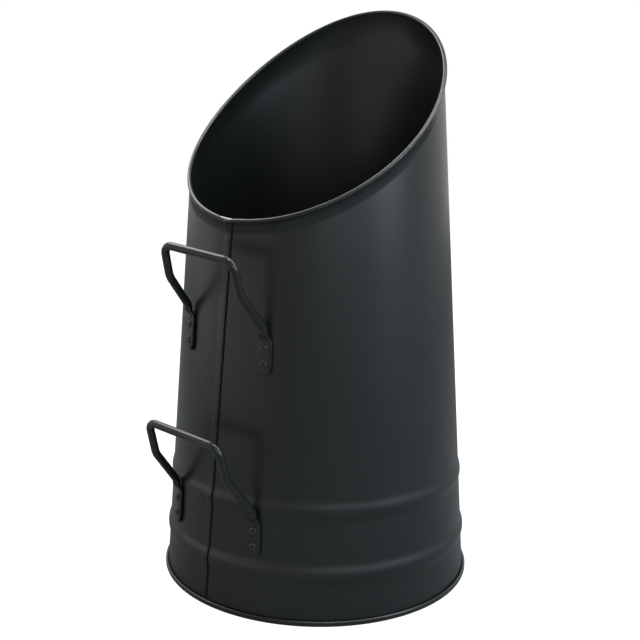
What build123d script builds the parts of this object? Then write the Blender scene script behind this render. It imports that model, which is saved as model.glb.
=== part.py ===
"""Tall sheet-steel coal scuttle with a slanted mouth and two bent-rod handles.

Lengths are in millimetres. The origin is on the floor at the centre of the base, +Z is
up, +Y is the back, where the mouth is lowest, and -Y is the front, where it pours.
"""

import os
from math import asin, copysign, cos, degrees, pi, radians, sin, sqrt

from build123d import *

# Sheet metal
sheet = 0.8
fit_gap = 0.05
overrun = 20.0

# Body cone, measured on the outside of the sheet
foot_radius = 140.0
lip_radius = 104.4

# Mouth, measured where its cut meets the middle of the sheet, with its dip below a straight
# cut, and the edge that is rolled outwards round a wire
lip_height = 511.0
back_height = 332.5
mouth_dip = 6.6
curl_radius = 1.9
curl_shift = 0.9
wire_radius = 1.05
mouth_spans = 16

# Swaged ribs: height of the crest, how far it stands out, half its length up the wall
lower_rib_height = 43.0
lower_rib_rise = 1.9
lower_rib_half = 11.0
upper_rib_height = 97.0
upper_rib_rise = 1.4
upper_rib_half = 10.0

# Lock seam up the back, with its distance to the side of the back line at each end
seam_width = 6.0
seam_rise = 0.9
seam_shift_at_foot = 28.5
seam_shift_at_mouth = 12.0

# Double seam round the base
seam_height = 4.8
lap_gap = 0.15
hook_gap = 0.4
hook_bend = 0.6
pan_bend = 1.3
pan_top_bend = 0.9
floor_recess = 6.5
floor_bend = 2.0

# Handles: height of the bar at the top of their feet, then in degrees their turn round from
# the back and how far they are tilted, left foot up. The upper one is a smaller copy.
upper_handle_height = 249.1
upper_handle_turn = 7.9
upper_handle_tilt = 4.9
upper_handle_share = 0.907
lower_handle_height = 93.2
lower_handle_turn = 10.5
lower_handle_tilt = 1.7

# Round bar of the lower handle, from its foot to its grip
rod_radius = 3.5
foot_half_width = 47.1
heel_lift = 1.6
heel_rise = 2.6
knee_half_width = 45.5
knee_reach = 30.5
knee_rise = 35.0
grip_half_width = 43.6
grip_reach = 39.8
grip_rise = 66.0
foot_bend = 5.0
knee_bend = 18.0
corner_bend = 10.0

# Flattened foot below the bar: it has flattened at one drop, is widest from another, and
# its end is rounded off over the last of its length
foot_length = 36.4
foot_flat_drop = 8.5
foot_widest_drop = 12.5
foot_end_length = 8.0
foot_widest = 6.2
foot_end_half_width = 2.8
foot_thickness = 3.2
foot_squareness = 3.6
foot_outline_points = 20
foot_neck_sections = 6
foot_end_sections = 5

# Rivets in a foot
first_rivet_drop = 14.0
rivet_pitch = 13.4
rivet_radius = 1.6
hole_clearance = 0.05
head_radius = 3.25
head_rise = 1.1
head_edge = 0.4
head_flat_radius = 1.7
head_round = 0.6
head_edge_round = 0.2
mandrel_hole_radius = 0.95
tail_radius = 2.4
tail_length = 3.6
tail_round = 0.9

# Mandrel heads left in the rivets' tails
mandrel_radius = 0.9
mandrel_stem = 3.0
mandrel_head_radius = 1.45
mandrel_head_length = 1.5
mandrel_round = 0.5

# Worked out from the sizes above
rib_rows = [
    (lower_rib_height, lower_rib_rise, lower_rib_half),
    (upper_rib_height, upper_rib_rise, upper_rib_half),
]
handle_rows = [
    ("upper", upper_handle_height, upper_handle_turn, upper_handle_tilt, upper_handle_share),
    ("lower", lower_handle_height, lower_handle_turn, lower_handle_tilt, 1),
]
taper = (foot_radius - lip_radius) / lip_height
layer = sheet + lap_gap
rivet_hole_radius = rivet_radius + hole_clearance
rivet_grip = foot_thickness + sheet + 3 * fit_gap
rivet_drops = {"top": first_rivet_drop, "bottom": first_rivet_drop + rivet_pitch}


def wall_radius(height):
    """Outer radius of the plain cone at a height."""
    return foot_radius - taper * height


skirt_radius = wall_radius(seam_height) - sheet / 2
mouth_back = Vector(wall_radius(back_height) - sheet / 2, back_height)
mouth_front = Vector(sheet / 2 - wall_radius(lip_height), lip_height)


def mouth_circle():
    """Centre and radius, in side view, of the arc that the mouth is cut along."""
    chord = mouth_front - mouth_back
    square = Vector(chord.Y, -chord.X).normalized()
    radius = ((chord.length / 2) ** 2 + mouth_dip ** 2) / (2 * mouth_dip)
    return (mouth_front + mouth_back) / 2 + square * (radius - mouth_dip), radius


mouth_centre, mouth_radius = mouth_circle()


def mouth_height(back):
    """Height of the mouth's cut at a distance towards the back."""
    return mouth_centre.Y - sqrt(mouth_radius ** 2 - (back - mouth_centre.X) ** 2)


def mouth_point(turn):
    """Point on the middle of the rolled edge, at a turn from the back."""
    height = back_height
    for _ in range(40):
        radius = wall_radius(height) - sheet / 2 + curl_shift
        height = mouth_height(radius * cos(turn))
    return Vector(radius * sin(turn), radius * cos(turn), height)


def mouth_direction(turn):
    """Direction of the rolled edge, at a turn from the back."""
    step = pi / 10000
    return (mouth_point(turn + step) - mouth_point(turn - step)).normalized()


def half_mouth_arcs():
    """The rolled edge from back to front, as two tangent arcs for each span."""
    turns = [pi * span / mouth_spans for span in range(mouth_spans + 1)]
    for first, last in zip(turns, turns[1:]):
        start, end = mouth_point(first), mouth_point(last)
        leave, arrive = mouth_direction(first), mouth_direction(last)
        chord = end - start
        along = chord.dot(leave + arrive)
        spread = 2 * (1 - leave.dot(arrive))
        reach = (sqrt(along ** 2 + spread * chord.dot(chord)) - along) / spread
        middle = (start + end + (leave - arrive) * reach) / 2
        opening = TangentArc(start, middle, tangent=leave)
        TangentArc(middle, end, tangent=opening % 1)


def mouth_ring(section_radius):
    """Round ring along the whole of the rolled edge."""
    with BuildPart() as ring:
        with BuildLine() as half:
            half_mouth_arcs()
        with BuildSketch(Plane(origin=half.line @ 0, z_dir=half.line % 0)):
            Circle(section_radius)
        sweep(path=half.line)
        mirror(about=Plane.YZ)
    return ring.part


def wall_line(shift, bottom):
    """Line up the wall from a height at its bottom, shifted out from the sheet's middle."""

    def on_wall(height, rise):
        return Vector(wall_radius(height) - sheet / 2 + shift + rise, height)

    up = Vector(-taper, 1).normalized()
    below = on_wall(bottom, 0)
    for height, rise, half in rib_rows:
        low = on_wall(height - half, 0)
        crest = on_wall(height, rise)
        high = on_wall(height + half, 0)
        Line(below, low)
        for start, end in ((low, crest), (crest, high)):
            first = TangentArc(start, (start + end) / 2, tangent=up)
            TangentArc((start + end) / 2, end, tangent=first % 1)
        below = high
    Line(below, on_wall(lip_height + overrun, 0))


def wall_plane(turn, height):
    """Plane on the wall: x to the side, y up the wall, z straight out of it."""
    out = Vector(sin(radians(turn)), cos(radians(turn)), 0)
    side = Vector(-out.Y, out.X, 0)
    origin = out * wall_radius(height) + Vector(0, 0, height)
    return Plane(origin=origin, x_dir=side, z_dir=out + Vector(0, 0, taper))


def foot_spot(height, turn, tilt, share, side):
    """Turn from the back and height of the top of a handle's left or right foot."""
    half_width = share * foot_half_width
    top = height + side * half_width * sin(radians(tilt))
    return turn + side * degrees(asin(half_width / wall_radius(top))), top


def eased(share):
    """Share that leaves 0 and reaches 1 gently."""
    share = min(share, 1)
    return share * share * (3 - 2 * share)


def foot_section(drop):
    """Half width, thickness, lift off the wall and squareness of a foot at a drop."""
    flattened = eased(drop / foot_flat_drop)
    half_width = rod_radius + (foot_widest - rod_radius) * eased(drop / foot_widest_drop)
    end_share = max(0, 1 - (foot_length - drop) / foot_end_length)
    rounding = 1 - sqrt(1 - end_share ** 2)
    half_width -= (foot_widest - foot_end_half_width) * rounding
    thickness = 2 * rod_radius - (2 * rod_radius - foot_thickness) * flattened
    return half_width, thickness, heel_lift * (1 - flattened), 2 + (foot_squareness - 2) * flattened


def foot_drops():
    """Drops of a foot's sections below its round one, closer together at its round end."""
    neck = [foot_widest_drop * step / foot_neck_sections for step in range(1, foot_neck_sections + 1)]
    end_start = foot_length - foot_end_length
    quarter = [pi / 2 * step / foot_end_sections for step in range(foot_end_sections + 1)]
    return neck + [end_start + foot_end_length * sin(angle) for angle in quarter]


def oval(half_width, half_thickness, squareness):
    """Points round an oval whose corners fill out as its squareness grows past two."""
    points = []
    for index in range(foot_outline_points):
        angle = 2 * pi * index / foot_outline_points
        across = copysign(abs(cos(angle)) ** (2 / squareness), cos(angle))
        through = copysign(abs(sin(angle)) ** (2 / squareness), sin(angle))
        points.append((half_width * across, half_thickness * through))
    return points


def export_piece(piece, name):
    """Label a piece and write it to its own file."""
    piece.label = name
    export_step(piece, f"parts/{name}.step")


os.makedirs("parts", exist_ok=True)

# Lock seam: a raised band that leans to one side as it climbs
with BuildPart() as seam_band:
    with BuildSketch(Plane.XZ):
        with BuildLine() as band:
            wall_line((sheet / 2 + seam_rise) / 2, seam_height + lap_gap)
        trace(band.line, line_width=sheet / 2 + seam_rise)
    revolve(axis=Axis.Z)
    with BuildSketch(Plane.XZ):
        with BuildLine():
            Polyline(
                (seam_shift_at_foot - seam_width / 2, 0),
                (seam_shift_at_foot + seam_width / 2, 0),
                (seam_shift_at_mouth + seam_width / 2, back_height + overrun),
                (seam_shift_at_mouth - seam_width / 2, back_height + overrun),
                close=True,
            )
        make_face()
    extrude(amount=-foot_radius - overrun, mode=Mode.INTERSECT)

# Body: one rolled sheet with its ribs, lock seam, rolled mouth edge and base hook
with BuildPart() as body_shell:
    with BuildSketch(Plane.XZ):
        with BuildLine() as wall:
            wall_line(0, seam_height)
        with BuildLine() as hook:
            FilletPolyline(
                (skirt_radius, seam_height),
                (skirt_radius, sheet / 2 + layer),
                (skirt_radius + 2 * layer, sheet / 2 + layer),
                (skirt_radius + 2 * layer, seam_height - sheet - hook_gap),
                radius=hook_bend,
            )
        trace(wall.line, line_width=sheet)
        trace(hook.line, line_width=sheet)
    revolve(axis=Axis.Z)

    add(seam_band.part)

    # Mouth: everything above the curved cut is waste
    with BuildSketch(Plane.YZ):
        with BuildLine():
            back_edge = Vector(foot_radius, mouth_height(foot_radius))
            front_edge = Vector(-foot_radius, mouth_height(-foot_radius))
            ThreePointArc(front_edge, (0, mouth_height(0)), back_edge)
            Polyline(
                back_edge,
                (foot_radius, front_edge.Y + overrun),
                (-foot_radius, front_edge.Y + overrun),
                front_edge,
            )
        make_face()
    extrude(amount=foot_radius, both=True, mode=Mode.SUBTRACT)
    add(mouth_ring(curl_radius))
    add(mouth_ring(wire_radius + fit_gap), mode=Mode.SUBTRACT)

    for _, *stance in handle_rows:
        for side in (-1, 1):
            at, top = foot_spot(*stance, side)
            for drop in rivet_drops.values():
                with Locations(wall_plane(at, top - drop)):
                    Cylinder(rivet_hole_radius, overrun, mode=Mode.SUBTRACT)
export_piece(body_shell.part, "body_shell")

# Base: a pressed pan whose edge is turned up and hooked over the body
with BuildPart() as base_pan:
    with BuildSketch(Plane.XZ):
        with BuildLine() as pan:
            FilletPolyline(
                (0, floor_recess),
                (skirt_radius - layer, floor_recess),
                (skirt_radius - layer, sheet / 2),
                (skirt_radius + 3 * layer, sheet / 2),
                (skirt_radius + 3 * layer, seam_height - sheet / 2),
                (skirt_radius + layer, seam_height - sheet / 2),
                (skirt_radius + layer, sheet + layer + hook_gap),
                radius=[floor_bend, pan_bend, pan_bend, pan_top_bend, pan_top_bend],
            )
        trace(pan.line, line_width=sheet)
    revolve(axis=Axis.Z)
export_piece(base_pan.part, "base_pan")

# Wire inside the rolled mouth edge
export_piece(mouth_ring(wire_radius), "rim_wire")


def bent_handle(height, turn, tilt, share):
    """One round bar bent to a grip, two knees and two flattened feet."""
    frame = Plane(
        origin=(0, 0, height),
        x_dir=(cos(radians(turn)), -sin(radians(turn)), 0),
        z_dir=(0, 0, 1),
    ).rotated((0, -tilt, 0))
    wall_reach = sqrt(wall_radius(height) ** 2 - (share * foot_half_width) ** 2)

    def bar_corner(side, half_width, reach, rise):
        return frame.from_local_coords((share * side * half_width, wall_reach + reach, share * rise))

    with BuildPart() as handle:
        ends = []
        for side in (-1, 1):
            at, top = foot_spot(height, turn, tilt, share, side)
            heel = wall_plane(at, top).offset(rod_radius + fit_gap + heel_lift)
            with BuildSketch(Plane(origin=heel.origin, x_dir=heel.x_dir, z_dir=heel.y_dir)):
                Circle(rod_radius)
            for drop in foot_drops():
                half_width, thickness, lift, squareness = foot_section(drop)
                seat = wall_plane(at, top - drop).offset(thickness / 2 + fit_gap + lift)
                with BuildSketch(Plane(origin=seat.origin, x_dir=seat.x_dir, z_dir=seat.y_dir)):
                    with BuildLine():
                        Spline(oval(half_width, thickness / 2, squareness), periodic=True)
                    make_face()
            loft(ruled=True)
            ends.append([heel.origin, heel.origin + heel.y_dir * heel_rise])
        knees = [bar_corner(side, knee_half_width, knee_reach, knee_rise) for side in (-1, 1)]
        corners = [bar_corner(side, grip_half_width, grip_reach, grip_rise) for side in (-1, 1)]
        with BuildLine() as bar:
            FilletPolyline(
                *ends[0],
                knees[0],
                *corners,
                knees[1],
                *reversed(ends[1]),
                radius=[foot_bend, knee_bend, corner_bend, corner_bend, knee_bend, foot_bend],
            )
        with BuildSketch(Plane(origin=bar.line @ 0, z_dir=bar.line % 0)):
            Circle(rod_radius)
        sweep(path=bar.line)
        for side in (-1, 1):
            at, top = foot_spot(height, turn, tilt, share, side)
            for drop in rivet_drops.values():
                with Locations(wall_plane(at, top - drop)):
                    Cylinder(rivet_hole_radius, overrun, mode=Mode.SUBTRACT)
    return handle.part


# Blind rivet, made standing on its seat with its tail down
tail_shoulder = -rivet_grip - fit_gap
tail_end = tail_shoulder - tail_length
with BuildPart() as blind_rivet:
    with BuildSketch(Plane.XZ):
        with BuildLine():
            FilletPolyline(
                (mandrel_hole_radius, head_rise),
                (head_flat_radius, head_rise),
                (head_radius, head_edge),
                (head_radius, 0),
                (rivet_radius, 0),
                (rivet_radius, tail_shoulder),
                (tail_radius, tail_shoulder),
                (tail_radius, tail_end),
                (mandrel_hole_radius, tail_end),
                radius=[0, head_round, head_edge_round, 0, 0, 0, 0, tail_round, 0],
                close=True,
            )
        make_face()
    revolve(axis=Axis.Z)

# Mandrel head, pulled up against the tail
mandrel_seat = tail_end - fit_gap
with BuildPart() as mandrel_end:
    with BuildSketch(Plane.XZ):
        with BuildLine():
            FilletPolyline(
                (0, mandrel_seat + mandrel_stem),
                (mandrel_radius, mandrel_seat + mandrel_stem),
                (mandrel_radius, mandrel_seat),
                (mandrel_head_radius, mandrel_seat),
                (mandrel_head_radius, mandrel_seat - mandrel_head_length),
                (0, mandrel_seat - mandrel_head_length),
                radius=[0, 0, 0, 0, mandrel_round, 0],
                close=True,
            )
        make_face()
    revolve(axis=Axis.Z)

# Handles, each with two rivets in each foot
for handle_name, *stance in handle_rows:
    export_piece(bent_handle(*stance), f"{handle_name}_handle")
    for side_name, side in (("left", 1), ("right", -1)):
        at, top = foot_spot(*stance, side)
        for place, drop in rivet_drops.items():
            seat = wall_plane(at, top - drop)
            location = seat.offset(foot_thickness + 2 * fit_gap).location
            where = f"{handle_name}_{side_name}_{place}"
            export_piece(location * blind_rivet.part, f"rivet_{where}")
            export_piece(location * mandrel_end.part, f"mandrel_{where}")
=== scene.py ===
"""Looks of the coal scuttle: black powder-coated sheet steel with two bent-bar handles.

Lengths are in metres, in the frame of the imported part: the origin is on the floor at the
centre of the base, +Z is up and +Y points to the low side of the mouth. Every new piece is
a surface worked out on a grid of points, and its function says the formula in words.
"""

from math import acos, asin, atan2, cos, pi, radians, sin, sqrt, tan

import bmesh
import bpy
import numpy as np
from mathutils import Matrix, Vector


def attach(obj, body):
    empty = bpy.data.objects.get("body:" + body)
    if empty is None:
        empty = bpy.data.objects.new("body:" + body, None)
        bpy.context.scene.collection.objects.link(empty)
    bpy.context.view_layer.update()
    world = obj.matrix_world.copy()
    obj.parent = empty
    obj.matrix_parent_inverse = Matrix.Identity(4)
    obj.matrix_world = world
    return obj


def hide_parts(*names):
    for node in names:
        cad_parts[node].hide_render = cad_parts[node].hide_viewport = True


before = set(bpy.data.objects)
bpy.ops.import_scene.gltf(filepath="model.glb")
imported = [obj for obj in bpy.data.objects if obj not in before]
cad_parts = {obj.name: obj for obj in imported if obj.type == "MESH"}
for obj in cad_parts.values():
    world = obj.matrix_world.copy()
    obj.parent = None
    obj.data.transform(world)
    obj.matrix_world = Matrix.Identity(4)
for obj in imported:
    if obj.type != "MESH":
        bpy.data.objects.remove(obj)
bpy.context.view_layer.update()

mm = 0.001

# Sheet steel
sheet = 0.8 * mm
fit_gap = 0.05 * mm

# Body cone, measured on the outside of the sheet
foot_radius = 140.0 * mm
lip_radius = 104.4 * mm

# Mouth, measured where its cut meets the middle of the sheet, and its rolled edge, with a
# slight kink down where the seam's folds meet it
lip_height = 511.0 * mm
back_height = 332.5 * mm
mouth_dip = 6.6 * mm
curl_radius = 1.9 * mm
curl_shift = 0.9 * mm
kink_drop = 2.4 * mm
kink_reach = 6.5 * mm

# Swaged ribs: height of the crest, how far it stands out, half its length up the wall
ribs = [
    (43.0 * mm, 1.9 * mm, 11.0 * mm),
    (97.0 * mm, 1.4 * mm, 10.0 * mm),
]

# Lock seam, by its distance to the side of the back line at the floor and at the mouth
seam_shift_at_foot = 28.5 * mm
seam_shift_at_mouth = 12.0 * mm
seam_mouth_height = back_height + 20.0 * mm
seam_half_width = 3.0 * mm
seam_fold = 0.9 * mm

# Section across the lock seam as shares of its half width and of its fold's height, from
# the plain wall on the right, over the gap beside the fold, whose faces get painted shade,
# to the fold's soft left side
seam_section_shares = [
    (-2.40, 0.00), (-1.90, 0.00), (-1.74, -0.03), (-1.66, -0.14), (-1.62, -0.34), (-1.58, -0.52),
    (-1.34, -0.58), (-1.06, -0.52), (-1.02, -0.20), (-1.02, 0.25), (-0.99, 0.52), (-0.92, 0.68),
    (-0.78, 0.74), (-0.50, 0.72), (0.00, 0.64), (0.45, 0.52), (0.80, 0.36), (1.10, 0.18),
    (1.45, 0.06), (1.90, 0.00), (2.40, 0.00),
]
# Columns of the section between which the gap's faces get painted shade
painted_shade_first_column = 3
painted_shade_end_column = 9

# Double seam round the base
seam_height = 4.8 * mm
lap_gap = 0.15 * mm
hook_gap = 0.4 * mm
pan_bend = 1.3 * mm
pan_top_bend = 0.9 * mm
floor_recess = 6.5 * mm
floor_bend = 2.0 * mm
centre_ring = 1.0 * mm

# Round bar of each handle, and its flattened feet
rod_radius = 3.5 * mm
foot_half_width = 47.1 * mm
heel_lift = 1.6 * mm
heel_rise = 2.6 * mm
knee_half_width = 45.5 * mm
knee_reach = 30.5 * mm
knee_rise = 35.0 * mm
grip_half_width = 43.6 * mm
grip_reach = 39.8 * mm
grip_rise = 66.0 * mm
foot_bend = 5.0 * mm
knee_bend = 18.0 * mm
corner_bend = 10.0 * mm
foot_length = 36.4 * mm
foot_flat_drop = 8.5 * mm
foot_widest_drop = 12.5 * mm
foot_end_length = 8.0 * mm
foot_widest = 6.2 * mm
foot_end_half_width = 2.8 * mm
foot_thickness = 3.2 * mm
round_squareness = 2.0
foot_squareness = 3.6
foot_edge = 0.35 * mm
foot_edge_drop_share = 0.4
foot_edge_shares = (0.0, 0.5, 0.85)

# Handles: name, height of the bar at the top of its feet, turn round from the back, tilt
# with the left foot up, and size beside the lower one
handles = [
    ("upper", 249.1 * mm, radians(7.9), radians(4.9), 0.907),
    ("lower", 93.2 * mm, radians(10.5), radians(1.7), 1.0),
]

# Blind rivets and the mandrel heads left in them
rivet_drops = {"top": 14.0 * mm, "bottom": 27.4 * mm}
rivet_radius = 1.6 * mm
head_radius = 3.25 * mm
head_rise = 1.1 * mm
head_edge = 0.4 * mm
head_flat_radius = 1.7 * mm
head_foot_height = 0.08 * mm
head_foot_inset = 0.12 * mm
mandrel_hole_radius = 0.95 * mm
hole_bevel_depth = 0.35 * mm
hole_bevel = 0.25 * mm
tail_swell_power = 0.6
tail_radius = 2.4 * mm
tail_length = 3.6 * mm
mandrel_radius = 0.9 * mm
mandrel_stem = 3.0 * mm
mandrel_head_radius = 1.45 * mm
mandrel_head_length = 1.5 * mm
mandrel_round = 0.5 * mm
snap_edge = 0.2 * mm

# Rows and columns of the grids of points
far_columns = 380
wall_rows_low = 62
wall_rows_high = 22
bead_rows = 22
inner_rows_high = 14
inner_rows_low = 44
pan_columns = 480
bar_columns = 40
foot_end_rows = 9
foot_rows = 30
rivet_columns = 40
mandrel_columns = 32
dome_points = 9
tail_points = 9
mandrel_round_points = 6
sheet_edge_points = 7
arc_step = radians(6)
pan_arc_step = radians(12)

# Rounds of repeated substitution, which settle well before these, and the small turn that
# the mouth's direction is taken over
mouth_rounds = 40
column_rounds = 6
small_turn = 1e-4

# Heights between which the rows of the body's wall are spread
ribs_top = 112.0 * mm
wall_bottom = 3.0 * mm
inside_bottom = 7.2 * mm

# Rows of the wall turn with the rolled edge by this power of their share of the way up, so
# only those near the mouth do
edge_follow_power = 8

# Camera, found from the outline in the photograph
camera_place = (-0.4823, 0.7719, 0.4166)
camera_azimuth = radians(212.0)
camera_yaw = -0.029091
camera_pitch = 0.194960
camera_roll = 0.0049287
focal_pixels = 1007.912
centre_pixel = (288.435, 313.198)
frame_pixels = 640
sensor_width = 36.0
near_clip = 0.05
far_clip = 50.0

# Studio: the floor's side, its glow for the camera and for every direct look, the brightness
# of the white backdrop behind the part and of the room in front of it, as glossy rays see
# them, where the one starts to turn into the other, and the world's brightness as a light
floor_side = 8.0
floor_camera_glow = 0.93
floor_glow = 0.04
backdrop_glow = 1.0
front_glow = 0.42
sweep_start = -0.45
dim_glow = 0.25

# Lamps: name, place to the right of the part, towards the camera and up, width, height,
# power in watts, tint. Those at the back, on top and high on the right light the tops of
# bars and bead, those in front light the ribs, and the low panels show in the wall's sides.
lamp_target = (0.0, 0.0, 0.25)
lamps = [
    ("right_softbox", 1.4, 0.8, 0.82, 0.7, 0.5, 11.0, "#dceaf6"),
    ("front_softbox", 0.6, 1.6, 0.82, 1.3, 0.35, 6.0, "#e4eff6"),
    ("back_left_softbox", -0.95, -0.85, 1.75, 1.1, 0.8, 16.0, "#ffffff"),
    ("high_right_softbox", 1.15, 0.1, 1.65, 0.9, 0.9, 14.0, "#ffffff"),
    ("top_softbox", 0.2, 0.15, 1.9, 1.0, 0.4, 14.0, "#ffffff"),
    ("left_panel", -1.45, 0.4, 0.08, 2.6, 0.45, 2.8, "#fffaee"),
    ("right_panel", 1.5, 0.15, 0.1, 1.8, 0.6, 1.1, "#d2e4f4"),
]

# Worked out from the sizes above
taper = (foot_radius - lip_radius) / lip_height
layer = sheet + lap_gap
rivet_grip = foot_thickness + sheet + 3 * fit_gap
towards_camera = Vector((sin(camera_azimuth), -cos(camera_azimuth), 0.0))
to_the_right = Vector((cos(camera_azimuth), sin(camera_azimuth), 0.0))


def wall_radius(height):
    """Outside of the plain wall, a straight cone."""
    return foot_radius - taper * height


skirt_radius = wall_radius(seam_height) - sheet / 2
back_radius = wall_radius(back_height)


def rib_rise(height):
    """How far the ribs stand out: each flank is two parabolas that meet half way up it."""
    rise = np.zeros_like(height)
    for crest, out, half in ribs:
        share = np.clip(np.abs(height - crest) / half, 0, 1)
        rise += out * np.where(share < 0.5, 1 - 2 * share ** 2, 2 * (1 - share) ** 2)
    return rise


def seam_turn(height):
    """Turn from the back of the lock seam's middle: a straight lean across the cone."""
    lean = (seam_shift_at_mouth - seam_shift_at_foot) / seam_mouth_height
    return np.arcsin((seam_shift_at_foot + lean * height) / wall_radius(height))


def mouth_arc():
    """Centre and radius, in side view, of the arc that the mouth is cut along: it passes
    through the back and the lip and dips below the straight line between them."""
    back = np.array([wall_radius(back_height) - sheet / 2, back_height])
    front = np.array([sheet / 2 - wall_radius(lip_height), lip_height])
    chord = front - back
    length = np.hypot(*chord)
    square = np.array([chord[1], -chord[0]]) / length
    radius = ((length / 2) ** 2 + mouth_dip ** 2) / (2 * mouth_dip)
    return (front + back) / 2 + square * (radius - mouth_dip), radius


arc_centre, arc_radius = mouth_arc()


def mouth_line(turn):
    """Middle of the rolled edge: a cone just outside the sheet, cut by the arc, with a
    slight kink down at the seam. The height is found by repeated substitution."""
    height = np.full_like(turn, back_height)
    for _ in range(mouth_rounds):
        radius = wall_radius(height) - sheet / 2 + curl_shift
        past_centre = radius * np.cos(turn) - arc_centre[0]
        height = arc_centre[1] - np.sqrt(arc_radius ** 2 - past_centre ** 2)
    seam = seam_turn(np.full_like(turn, back_height)) + seam_half_width / back_radius
    aside = np.abs(np.mod(turn - seam + pi, 2 * pi) - pi) * back_radius
    height = height - kink_drop * np.exp(-aside / kink_reach)
    radius = wall_radius(height) - sheet / 2 + curl_shift
    return np.stack([radius * np.sin(turn), radius * np.cos(turn), height], -1)


def unit(vectors):
    """The same vectors at length one."""
    return vectors / np.linalg.norm(vectors, axis=-1, keepdims=True)


def add_mesh(name, points, faces):
    """A smooth-shaded mesh object, with its place in its vertices."""
    mesh = bpy.data.meshes.new(name)
    mesh.from_pydata(points.reshape(-1, 3).tolist(), [], faces)
    mesh.polygons.foreach_set("use_smooth", np.ones(len(mesh.polygons), bool))
    mesh.update()
    piece = bpy.data.objects.new(name, mesh)
    bpy.context.scene.collection.objects.link(piece)
    return piece


def grid_faces(rows, columns, loop_rows=False, loop_columns=True):
    """Four-sided faces over a grid of points, looped round where the surface closes."""
    index = np.arange(rows * columns).reshape(rows, columns)
    if loop_rows:
        index = np.vstack([index, index[:1]])
    if loop_columns:
        index = np.hstack([index, index[:, :1]])
    corners = [index[:-1, :-1], index[:-1, 1:], index[1:, 1:], index[1:, :-1]]
    return np.stack(corners, -1).reshape(-1, 4).tolist()


def dress(piece, material, replaced):
    """Gives a new piece its material, hangs it under the root body and hides the node that
    it stands for.
    """
    piece.data.materials.append(material)
    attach(piece, "root")
    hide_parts(replaced)
    return piece


def seam_columns():
    """Columns of the body close to the seam: the section's shares times the seam's half
    width are their distances from its middle, and times its fold the height of each."""
    shape = np.array(seam_section_shares)
    return shape[:, 0] * seam_half_width, shape[:, 1] * seam_fold


def body_points():
    """The body as one closed sheet on a looped grid. Columns run round it: those near the
    seam keep their distance from its leaning middle, and the rest share out the way round.
    Rows run up the outside, round the rolled edge and down the inside, one sheet
    thickness further in."""
    offset, fold = seam_columns()
    near = len(offset)
    shares = np.linspace(0, 1, far_columns + 2)[1:-1]

    def turns(height):
        """Turn of every column at the heights of a row, one height for each column."""
        radius = wall_radius(height)
        middle = seam_turn(height)
        close = middle[:near] + offset / radius[:near]
        first = offset[-1] / radius[near:]
        last = 2 * pi + offset[0] / radius[near:]
        return np.concatenate([close, middle[near:] + first + (last - first) * shares])

    count = near + far_columns
    folds = np.concatenate([fold, np.zeros(far_columns)])
    top_turn = turns(np.full(count, back_height))
    for _ in range(column_rounds):
        top_turn = turns(mouth_line(top_turn)[:, 2])
    centre = mouth_line(top_turn)
    along = unit(mouth_line(top_turn + small_turn) - mouth_line(top_turn - small_turn))
    out = unit(np.stack([np.sin(top_turn), np.cos(top_turn), np.full(count, taper)], -1))
    out = unit(out - along * np.sum(out * along, -1, keepdims=True))
    up = np.cross(out, along)
    up *= np.sign(up[:, 2:])

    outer_aside = curl_shift - sheet / 2
    inner_aside = curl_shift + sheet / 2
    rows = []

    def wall_row(height, turn, depth):
        """A row of the wall, a depth inside its outside."""
        radius = wall_radius(height) + rib_rise(height) - depth
        if depth == 0:
            radius = radius + folds * np.clip((height - wall_bottom) / seam_height, 0, 1)
        rows.append(np.stack([radius * np.sin(turn), radius * np.cos(turn), height], -1))

    def rise_to(place, depth, shares_up):
        """Rows from the top of the ribs to the rolled edge, or back down."""
        top_height = place[:, 2]
        edge_turn = np.unwrap(np.arctan2(place[:, 0], place[:, 1]))
        edge_turn += 2 * pi * np.round((top_turn - edge_turn) / (2 * pi))
        for share in shares_up:
            height = ribs_top + (top_height - ribs_top) * share
            turn = turns(height)
            follow = share ** edge_follow_power
            wall_row(height, turn + (edge_turn - turns(top_height)) * follow, depth)

    low_heights = np.linspace(wall_bottom, ribs_top, wall_rows_low)
    for height in low_heights:
        level = np.full(count, height)
        wall_row(level, turns(level), 0)
    outer_contact = centre - out * outer_aside - up * sqrt(curl_radius ** 2 - outer_aside ** 2)
    inner_contact = centre - out * inner_aside - up * sqrt(curl_radius ** 2 - inner_aside ** 2)
    rise_to(outer_contact, 0, np.linspace(0, 1, wall_rows_high + 1)[1:-1])
    first = -acos(-outer_aside / curl_radius)
    last = 2 * pi - acos(-inner_aside / curl_radius)
    for angle in np.linspace(first, last, bead_rows):
        rows.append(centre + (out * cos(angle) + up * sin(angle)) * curl_radius)
    rise_to(inner_contact, sheet, np.linspace(1, 0, inner_rows_high + 1)[1:-1])
    for height in np.linspace(ribs_top, inside_bottom, inner_rows_low):
        level = np.full(count, height)
        wall_row(level, turns(level), sheet)
    return np.stack(rows)


def filleted(points, radii, turn_step=arc_step):
    """A path with each corner rounded by a tangent arc: its two ends and points close
    together along the arcs, in two or three dimensions."""
    points = [np.array(p, float) for p in points]
    path = [points[0]]
    for before, corner, after, radius in zip(points, points[1:], points[2:], radii):
        back, ahead = unit(before - corner), unit(after - corner)
        half = np.arccos(np.clip(np.dot(back, ahead), -1, 1)) / 2
        reach = radius / tan(half)
        start, end = corner + back * reach, corner + ahead * reach
        middle = corner + unit(back + ahead) * radius / sin(half)
        sweep = pi - 2 * half
        steps = max(2, int(np.ceil(sweep / turn_step)))
        spoke, side = start - middle, unit(-back) * radius
        for part in range(steps + 1):
            angle = sweep * part / steps
            path.append(middle + spoke * cos(angle) + side * sin(angle))
    path.append(points[-1])
    return np.array(path)


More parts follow.
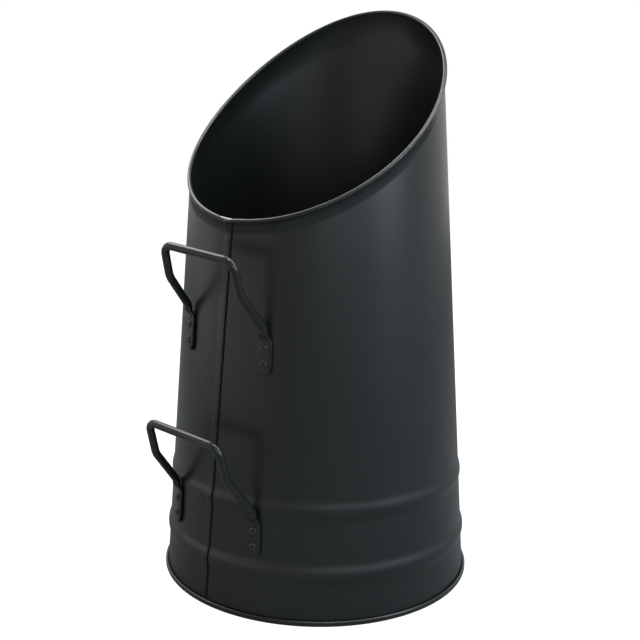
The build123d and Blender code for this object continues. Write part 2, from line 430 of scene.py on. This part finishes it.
def thick_profile(path, thickness):
    """Outline of a sheet that follows a flat path out and back, round at its far edge."""
    run = unit(np.gradient(path, axis=0))
    square = np.stack([-run[:, 1], run[:, 0]], -1) * thickness / 2
    angles = np.linspace(0, pi, sheet_edge_points)[1:-1, None]
    far_edge = path[-1] - square[-1] * np.cos(angles) + run[-1] * thickness / 2 * np.sin(angles)
    return np.vstack([path - square, far_edge, (path + square)[::-1]])


def revolved(outline, columns):
    """An outline of radius and height carried once round the Z axis."""
    turn = np.arange(columns) * 2 * pi / columns
    radius, height = outline[:, :1], outline[:, 1:]
    level = np.broadcast_to(height, (len(outline), columns))
    return np.stack([radius * np.sin(turn), radius * np.cos(turn), level], -1)


def pan_points():
    """The base pan: its pressed section, turned up and over the body's hook, carried
    round. Its outline starts and ends in a small ring that is capped."""
    section = filleted(
        [
            (centre_ring, floor_recess),
            (skirt_radius - layer, floor_recess),
            (skirt_radius - layer, sheet / 2),
            (skirt_radius + 3 * layer, sheet / 2),
            (skirt_radius + 3 * layer, seam_height - sheet / 2),
            (skirt_radius + layer, seam_height - sheet / 2),
            (skirt_radius + layer, sheet + layer + hook_gap),
        ],
        [floor_bend, pan_bend, pan_bend, pan_top_bend, pan_top_bend],
        pan_arc_step,
    )
    return revolved(thick_profile(section, sheet), pan_columns)


def wall_frame(turn, height):
    """Place on the plain wall with its sideways, upward and outward directions."""
    out = np.array([sin(turn), cos(turn), 0.0])
    side = np.array([-out[1], out[0], 0.0])
    place = out * wall_radius(height) + np.array([0, 0, height])
    away = unit(out + np.array([0, 0, taper]))
    return place, side, np.cross(away, side), away


def foot_spot(height, turn, tilt, share, side):
    """Turn from the back and height of the top of a handle's left or right foot, where the
    tilted line between both feet meets the cone."""
    half_width = share * foot_half_width
    top = height + side * half_width * sin(tilt)
    return turn + side * asin(half_width / wall_radius(top)), top


def eased(share):
    """A share that leaves 0 and reaches 1 gently: three squares less two cubes."""
    share = np.clip(share, 0, 1)
    return share * share * (3 - 2 * share)


def foot_section(drop):
    """Half width, half thickness, lift and squareness of a foot at a drop below its bar:
    each eases from the round bar's to the flat foot's, and the end narrows as a quarter of
    an ellipse."""
    flattened = eased(drop / foot_flat_drop)
    half_width = rod_radius + (foot_widest - rod_radius) * eased(drop / foot_widest_drop)
    end_share = np.clip(1 - (foot_length - drop) / foot_end_length, 0, 1)
    half_width = half_width - (foot_widest - foot_end_half_width) * (1 - sqrt(1 - end_share ** 2))
    half_thickness = rod_radius - (rod_radius - foot_thickness / 2) * flattened
    squareness = round_squareness + (foot_squareness - round_squareness) * flattened
    return half_width, half_thickness, heel_lift * (1 - flattened), squareness


def oval(squareness):
    """Unit superellipse: a circle at a squareness of two, with fuller corners above it."""
    angle = np.arange(bar_columns) * 2 * pi / bar_columns
    across = np.sign(np.cos(angle)) * np.abs(np.cos(angle)) ** (2 / squareness)
    through = np.sign(np.sin(angle)) * np.abs(np.sin(angle)) ** (2 / squareness)
    return across[:, None], through[:, None]


def foot_rings(at, top):
    """Rings of one flattened foot, from its rounded end up to the round bar. The first few
    are shrunken copies of the end's ring, which soften its edge."""
    quarter = np.linspace(pi / 2, 0, foot_end_rows)
    drops = np.concatenate([
        foot_length - foot_end_length * (1 - np.sin(quarter)),
        np.linspace(foot_length - foot_end_length, 0, foot_rows)[1:],
    ])
    rings = []
    for number, drop in enumerate(drops):
        half_width, half_thickness, lift, squareness = foot_section(drop)
        place, sideways, up, away = wall_frame(at, top - drop)
        middle = place + away * (half_thickness + fit_gap + lift)
        across, through = oval(squareness)
        if number == 0:
            for shrink in foot_edge_shares:
                inset = foot_edge * (1 - shrink)
                below = up * -foot_edge * (1 - shrink) * foot_edge_drop_share
                rings.append(
                    middle + below
                    + sideways * across * (half_width - inset)
                    + away * through * (half_thickness - inset)
                )
        rings.append(middle + sideways * across * half_width + away * through * half_thickness)
    return np.stack(rings)


def bar_points(height, turn, tilt, share):
    """One handle: rings of a bar carried along its bent line. The feet are ovals that
    widen as they flatten; between them the ring is round, and its frame is carried along
    the line without twist, with what is left over shared out evenly."""
    reach = sqrt(wall_radius(height) ** 2 - (share * foot_half_width) ** 2)
    outward = np.array([sin(turn), cos(turn), 0.0])
    level = np.array([cos(turn), -sin(turn), 0.0])
    across = level * cos(tilt) + np.array([0, 0, sin(tilt)])
    upward = np.array([0, 0, cos(tilt)]) - level * sin(tilt)

    def corner(side, half_width, extra, rise):
        start = outward * (reach + extra) + np.array([0, 0, height])
        return start + across * share * side * half_width + upward * share * rise

    heels = {}
    for side in (1, -1):
        place, _, up, away = wall_frame(*foot_spot(height, turn, tilt, share, side))
        heel = place + away * (rod_radius + fit_gap + heel_lift)
        heels[side] = [heel, heel + up * heel_rise]
    line = filleted(
        [
            *heels[1],
            corner(1, knee_half_width, knee_reach, knee_rise),
            corner(1, grip_half_width, grip_reach, grip_rise),
            corner(-1, grip_half_width, grip_reach, grip_rise),
            corner(-1, knee_half_width, knee_reach, knee_rise),
            *heels[-1][::-1],
        ],
        [foot_bend, knee_bend, corner_bend, corner_bend, knee_bend, foot_bend],
    )
    first_spot = foot_spot(height, turn, tilt, share, 1)
    last_spot = foot_spot(height, turn, tilt, share, -1)
    first_foot = foot_rings(*first_spot)
    last_foot = foot_rings(*last_spot)
    run = unit(np.gradient(line, axis=0))
    _, side_first, _, away_first = wall_frame(*first_spot)
    _, side_last, _, _ = wall_frame(*last_spot)
    sideways = [side_first]
    for before, after in zip(run, run[1:]):
        carried = sideways[-1] - after * np.dot(sideways[-1], after)
        sideways.append(unit(carried))
    sideways = np.array(sideways)
    square = np.cross(run, sideways)
    flip = np.sign(np.dot(square[0], away_first))
    left_over = atan2(np.dot(-side_last, square[-1] * flip), np.dot(-side_last, sideways[-1]))
    length = np.concatenate([[0], np.cumsum(np.linalg.norm(np.diff(line, axis=0), axis=1))])
    spin = (left_over * length / length[-1])[:, None]
    turned_side = sideways * np.cos(spin) + square * flip * np.sin(spin)
    turned_away = square * flip * np.cos(spin) - sideways * np.sin(spin)
    across_ring, through_ring = oval(round_squareness)
    round_rings = (
        line[1:-1, None]
        + turned_side[1:-1, None] * across_ring * rod_radius
        + turned_away[1:-1, None] * through_ring * rod_radius
    )
    mirrored = (bar_columns // 2 - np.arange(bar_columns)) % bar_columns
    return np.concatenate([first_foot, round_rings, last_foot[::-1, mirrored]])


def capped(points):
    """Faces of a tube of rings, closed with one flat face at each end."""
    rows, columns = points.shape[:2]
    faces = grid_faces(rows, columns)
    faces.append(list(range(columns)))
    faces.append([(rows - 1) * columns + i for i in reversed(range(columns))])
    return faces


def facing_out(piece):
    """Turns the piece's faces outwards."""
    shape = bmesh.new()
    shape.from_mesh(piece.data)
    bmesh.ops.recalc_face_normals(shape, faces=shape.faces)
    shape.to_mesh(piece.data)
    shape.free()
    return piece


def placed(points, turn, height, lift):
    """Points of a revolved piece stood on the wall, its axis straight out of the sheet."""
    place, side, up, away = wall_frame(turn, height)
    return place + away * lift + points @ np.stack([side, up, away])


def rivet_points():
    """A formed blind rivet: its section of dome, hole, shank and swollen tail, carried
    round."""
    shoulder = -rivet_grip - fit_gap
    end = shoulder - tail_length
    section = [
        (mandrel_hole_radius, head_rise - hole_bevel_depth),
        (mandrel_hole_radius + hole_bevel, head_rise),
    ]
    for angle in np.linspace(0, 1, dome_points) * pi / 2:
        radius = head_flat_radius + (head_radius - head_flat_radius) * sin(angle)
        section.append((radius, head_edge + (head_rise - head_edge) * cos(angle)))
    section += [
        (head_radius, head_foot_height),
        (head_radius - head_foot_inset, 0),
        (rivet_radius, 0),
        (rivet_radius, shoulder),
    ]
    for share in np.linspace(0, 1, tail_points):
        swell = sin(share * pi) ** tail_swell_power * (tail_radius - rivet_radius)
        section.append((rivet_radius + swell, shoulder + (end - shoulder) * share))
    section += [(mandrel_hole_radius, end), (mandrel_hole_radius, 0)]
    return revolved(np.array(section), rivet_columns)


def mandrel_points():
    """A snapped mandrel: a stem with a worn end and a round-edged head, carried round and
    capped at both ends."""
    seat = -rivet_grip - tail_length - 2 * fit_gap
    snapped = seat + mandrel_stem
    section = [
        (mandrel_radius - 2 * snap_edge, snapped),
        (mandrel_radius, snapped - snap_edge),
        (mandrel_radius, seat),
        (mandrel_head_radius, seat),
    ]
    for angle in np.linspace(0, pi / 2, mandrel_round_points):
        section.append((
            mandrel_head_radius - mandrel_round * (1 - cos(angle)),
            seat - mandrel_head_length + mandrel_round * (1 - sin(angle)),
        ))
    return revolved(np.array(section), mandrel_columns)


def linear(colour):
    """An sRGB hex colour as the four linear values that a shader takes."""
    values = [int(colour[i:i + 2], 16) / 255 for i in (1, 3, 5)]
    return [v / 12.92 if v <= 0.04045 else ((v + 0.055) / 1.055) ** 2.4 for v in values] + [1.0]


def add_node(tree, kind, inputs=(), **settings):
    """A shader node with its settings, and its inputs given as values or as sockets."""
    made = tree.nodes.new(kind)
    for name, value in settings.items():
        setattr(made, name, value)
    for name, value in dict(inputs).items():
        if isinstance(value, bpy.types.NodeSocket):
            tree.links.new(value, made.inputs[name])
        else:
            made.inputs[name].default_value = value
    return made


def new_material(name):
    """A named material with an empty node tree and its output."""
    material = bpy.data.materials.new(name)
    material.use_nodes = True
    material.node_tree.nodes.clear()
    return material, material.node_tree, material.node_tree.nodes.new("ShaderNodeOutputMaterial")


# Patterns in the finishes, by the size and detail of their noise: clouds of slightly uneven
# film, fourteen to a metre, grain and orange peel of the baked film, and the streaks of
# drawn steel. Then the grain's share of the bump, and how much clouds and streaks take from
# the roughness and add to it.
cloud_size, cloud_detail = 1 / 14, 4.0
grain_size, grain_detail = 1.1 * mm, 3.0
peel_size, peel_detail = 4.0 * mm, 2.0
streak_size, streak_detail = 0.6 * mm, 4.0
grain_share = 0.35
cloud_smoother, cloud_rougher = 0.04, 0.05
streak_spread = 0.1


def powder_coat(name, dark, pale, roughness, bump_depth, refraction):
    """Satin black polyester powder coat, sprayed on and baked. The film levels out to a
    faint orange peel about 2 mm across with a finer grain in it, so its highlights are
    broad and a little grainy. Both are drawn somewhat coarse, to show at the photograph's
    scale. The bump's height is the peel plus a share of the grain. The colour goes from
    dark to pale over the clouds, as sockets 0, 6 and 7 of its Mix node: factor and two
    colours."""
    material, tree, output = new_material(name)
    place = add_node(tree, "ShaderNodeTexCoord").outputs["Object"]
    clouds, grain, peel = (
        add_node(tree, "ShaderNodeTexNoise", {"Vector": place, "Scale": 1 / size, "Detail": detail})
        for size, detail in (
            (cloud_size, cloud_detail), (grain_size, grain_detail), (peel_size, peel_detail),
        )
    )
    colour = add_node(
        tree, "ShaderNodeMix",
        {0: clouds.outputs["Fac"], 6: linear(dark), 7: linear(pale)}, data_type="RGBA",
    )
    gloss = add_node(
        tree, "ShaderNodeMapRange",
        {
            "Value": clouds.outputs["Fac"],
            "To Min": roughness - cloud_smoother,
            "To Max": roughness + cloud_rougher,
        },
    )
    heights = add_node(
        tree, "ShaderNodeMath",
        {0: grain.outputs["Fac"], 1: grain_share, 2: peel.outputs["Fac"]}, operation="MULTIPLY_ADD",
    )
    bump = add_node(
        tree, "ShaderNodeBump",
        {"Height": heights.outputs[0], "Strength": 1.0, "Distance": bump_depth},
    )
    shader = add_node(
        tree, "ShaderNodeBsdfPrincipled",
        {
            "Base Color": colour.outputs[2],
            "Roughness": gloss.outputs["Result"],
            "IOR": refraction,
            "Normal": bump.outputs["Normal"],
        },
    )
    tree.links.new(shader.outputs[0], output.inputs["Surface"])
    return material


def bare_steel(name, colour, roughness):
    """Bare steel, drawn through a die or snapped off: grey metal whose fine streaks make
    its highlights uneven."""
    material, tree, output = new_material(name)
    place = add_node(tree, "ShaderNodeTexCoord").outputs["Object"]
    streaks = add_node(
        tree, "ShaderNodeTexNoise",
        {"Vector": place, "Scale": 1 / streak_size, "Detail": streak_detail},
    )
    gloss = add_node(
        tree, "ShaderNodeMapRange",
        {
            "Value": streaks.outputs["Fac"],
            "To Min": roughness - streak_spread,
            "To Max": roughness + streak_spread,
        },
    )
    shader = add_node(
        tree, "ShaderNodeBsdfPrincipled",
        {"Base Color": linear(colour), "Metallic": 1.0, "Roughness": gloss.outputs["Result"]},
    )
    tree.links.new(shader.outputs[0], output.inputs["Surface"])
    return material


def seen_directly(tree):
    """One where a camera, glossy or transmission ray looks, and nought elsewhere."""
    path = add_node(tree, "ShaderNodeLightPath")
    most = path.outputs["Is Camera Ray"]
    for other in ("Is Glossy Ray", "Is Transmission Ray"):
        larger = add_node(
            tree, "ShaderNodeMath", {0: most, 1: path.outputs[other]}, operation="MAXIMUM",
        )
        most = larger.outputs[0]
    return most


# Materials
# Black powder coat on cold-rolled sheet, sprayed and baked: broad satin highlights
body_coat = powder_coat("powder_coated_sheet_steel", "#101313", "#161a1a", 0.36, 0.04 * mm, 1.5)
# The same powder on drawn round bar, where it flows out smoother: tighter highlights
bar_coat = powder_coat("powder_coated_round_bar", "#0f1212", "#151919", 0.31, 0.02 * mm, 1.5)
# Aluminium blind rivets painted with the rest: a little paler than the sheet round them
rivet_coat = powder_coat("painted_aluminium_rivet", "#202224", "#282a2c", 0.34, 0.03 * mm, 1.5)
# The coat on rolled bead and folded rim, stretched thin over the bend: glossier, for crisp edge
# lines, and a little paler than the sheet's coat as a painted highlight
edge_coat_with_painted_highlight = powder_coat("powder_coat_on_rolled_edge_with_painted_highlight", "#141617", "#1a1d1f", 0.28, 0.02 * mm, 1.5)
# The slot beside the seam's fold gets painted shade: a darker, duller coat
# that shows as a soft dark line
seam_gap_painted_shade = powder_coat("painted_shade_in_seam_gap", "#0e0f10", "#131415", 0.7, 0.02 * mm, 1.3)
# Plated mandrel of a blind rivet, snapped off in setting: a dull grey point in its head
snapped_steel = bare_steel("snapped_steel_mandrel", "#8a8a8c", 0.45)
# Drawn wire inside the bead, which nothing shows once it is rolled in
drawn_wire = bare_steel("drawn_steel_wire", "#9a9a9c", 0.35)

# Sheet-metal pieces
body_grid = body_points()
rows, columns = body_grid.shape[:2]
body = facing_out(add_mesh("body_sheet", body_grid, grid_faces(rows, columns, loop_rows=True)))
dress(body, body_coat, "body_shell")
body.data.materials.append(seam_gap_painted_shade)
body.data.materials.append(edge_coat_with_painted_highlight)

# The looped grid has one face for each of its points, row by row. The bead takes the third
# material, the glossier coat painted paler as a highlight, and the slot beside the seam's
# fold takes the second, painted shade, up the outside from the edge at the foot.
row, column = np.divmod(np.arange(rows * columns), columns)
first_bead_row = wall_rows_low + wall_rows_high - 1
on_bead = (row >= first_bead_row) & (row < first_bead_row + bead_rows - 1)
outside = (row < first_bead_row) | (row == rows - 1)
painted_gap_shade_mask = outside & (column >= painted_shade_first_column) & (column < painted_shade_end_column)
body.data.polygons.foreach_set("material_index", np.where(on_bead, 2, painted_gap_shade_mask.astype(int)))
body.data.update()

# The pan takes the edge's glossier coat, painted a little paler as a highlight
pan_grid = pan_points()
pan = facing_out(add_mesh("floor_pan", pan_grid, capped(pan_grid)))
dress(pan, edge_coat_with_painted_highlight, "base_pan")

# Handles, rivets and mandrels
for name, *stance in handles:
    bar_grid = bar_points(*stance)
    bar = facing_out(add_mesh(f"{name}_bar", bar_grid, capped(bar_grid)))
    dress(bar, bar_coat, f"{name}_handle")
    for side_name, side in (("left", 1), ("right", -1)):
        at, top = foot_spot(*stance, side)
        for spot, drop in rivet_drops.items():
            where = f"{name}_{side_name}_{spot}"
            lift = foot_thickness + 2 * fit_gap
            for kind, points, material, slot in (
                ("rivet", rivet_points(), rivet_coat, "rivet_finish"),
                ("mandrel", mandrel_points(), snapped_steel, "mandrel_steel"),
            ):
                grid = placed(points, at, top - drop, lift)
                solid = kind == "mandrel"
                faces = capped(grid) if solid else grid_faces(*grid.shape[:2], loop_rows=True)
                piece = facing_out(add_mesh(f"{kind}_body_{where}", grid, faces))
                dress(piece, material, f"{kind}_{where}")

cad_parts["rim_wire"].data.materials.clear()
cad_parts["rim_wire"].data.materials.append(drawn_wire)

# Floor: pale, white where it is looked at, with the scuttle's soft shadow left in it
floor_mesh = bpy.data.meshes.new("floor")
half_floor = floor_side / 2
floor_corners = [(-1, -1), (1, -1), (1, 1), (-1, 1)]
floor_mesh.from_pydata(
    [(half_floor * x, half_floor * y, 0) for x, y in floor_corners], [], [(0, 1, 2, 3)],
)
floor = bpy.data.objects.new("floor", floor_mesh)
bpy.context.scene.collection.objects.link(floor)
floor_material, tree, output = new_material("pale_studio_floor")
matt = add_node(tree, "ShaderNodeBsdfDiffuse", {"Color": linear("#888c8e")})
camera_ray = add_node(tree, "ShaderNodeLightPath").outputs["Is Camera Ray"]
strength = add_node(
    tree, "ShaderNodeMath",
    {0: camera_ray, 1: floor_camera_glow, 2: floor_glow}, operation="MULTIPLY_ADD",
)
glow = add_node(
    tree, "ShaderNodeEmission",
    {"Color": linear("#ffffff"), "Strength": strength.outputs[0]},
)
lifted = add_node(tree, "ShaderNodeAddShader")
tree.links.new(matt.outputs[0], lifted.inputs[0])
tree.links.new(glow.outputs[0], lifted.inputs[1])
choice = add_node(tree, "ShaderNodeMixShader", {0: seen_directly(tree)})
tree.links.new(matt.outputs[0], choice.inputs[1])
tree.links.new(lifted.outputs[0], choice.inputs[2])
tree.links.new(choice.outputs[0], output.inputs["Surface"])
floor_mesh.materials.append(floor_material)

# World: white for the camera. Glossy and transmission rays see the white backdrop behind
# the part and, by how far they point away from it, the dimmer room in front. As a light
# the world is dim.
world = bpy.data.worlds.new("studio_white")
bpy.context.scene.world = world
world.use_nodes = True
tree = world.node_tree
tree.nodes.clear()
output = tree.nodes.new("ShaderNodeOutputWorld")
direction = add_node(tree, "ShaderNodeTexCoord").outputs["Generated"]
behind = add_node(
    tree, "ShaderNodeVectorMath", {0: direction, 1: -towards_camera}, operation="DOT_PRODUCT",
)
sweep = add_node(
    tree, "ShaderNodeMapRange",
    {
        "Value": behind.outputs["Value"],
        "From Min": sweep_start,
        "From Max": 1.0,
        "To Min": front_glow,
        "To Max": backdrop_glow,
    },
    interpolation_type="SMOOTHSTEP",
)
camera_ray = add_node(tree, "ShaderNodeLightPath").outputs["Is Camera Ray"]
strength = add_node(
    tree, "ShaderNodeMath", {0: camera_ray, 1: sweep.outputs["Result"]}, operation="MAXIMUM",
)
white = add_node(
    tree, "ShaderNodeBackground",
    {"Color": linear("#ffffff"), "Strength": strength.outputs[0]},
)
dim = add_node(tree, "ShaderNodeBackground", {"Color": linear("#ffffff"), "Strength": dim_glow})
choice = add_node(tree, "ShaderNodeMixShader", {0: seen_directly(tree)})
tree.links.new(dim.outputs[0], choice.inputs[1])
tree.links.new(white.outputs[0], choice.inputs[2])
tree.links.new(choice.outputs[0], output.inputs["Surface"])

# Lamps: rectangular studio lights that face the middle of the part
for name, rightward, cameraward, upward, width, height, power, tint in lamps:
    lamp = bpy.data.lights.new(name, "AREA")
    lamp.color = linear(tint)[:3]
    lamp.shape = "RECTANGLE"
    lamp.size, lamp.size_y = width, height
    lamp.energy = power
    place = to_the_right * rightward + towards_camera * cameraward + Vector((0, 0, 1)) * upward
    made = bpy.data.objects.new(name, lamp)
    made.location = place
    made.rotation_euler = (Vector(lamp_target) - place).to_track_quat("-Z", "Y").to_euler()
    bpy.context.scene.collection.objects.link(made)

# Camera
look = Vector((
    sin(camera_yaw) * cos(camera_pitch),
    cos(camera_yaw) * cos(camera_pitch),
    -sin(camera_pitch),
))
level = Vector((cos(camera_yaw), -sin(camera_yaw), 0.0))
upright = level.cross(look)
right = level * cos(camera_roll) + upright * sin(camera_roll)
upright = upright * cos(camera_roll) - level * sin(camera_roll)
turned = Matrix.Rotation(camera_azimuth, 3, "Z")
axes = Matrix([turned @ right, turned @ upright, turned @ -look]).transposed()
camera_data = bpy.data.cameras.new("camera")
camera_data.sensor_width = sensor_width
camera_data.lens = sensor_width * focal_pixels / frame_pixels
camera_data.shift_x = (frame_pixels / 2 - centre_pixel[0]) / frame_pixels
camera_data.shift_y = (centre_pixel[1] - frame_pixels / 2) / frame_pixels
camera_data.clip_start = near_clip
camera_data.clip_end = far_clip
camera = bpy.data.objects.new("camera", camera_data)
camera.matrix_world = Matrix.Translation(camera_place) @ axes.to_4x4()
bpy.context.scene.collection.objects.link(camera)
bpy.context.scene.camera = camera

bpy.context.scene.view_settings.view_transform = "Standard"
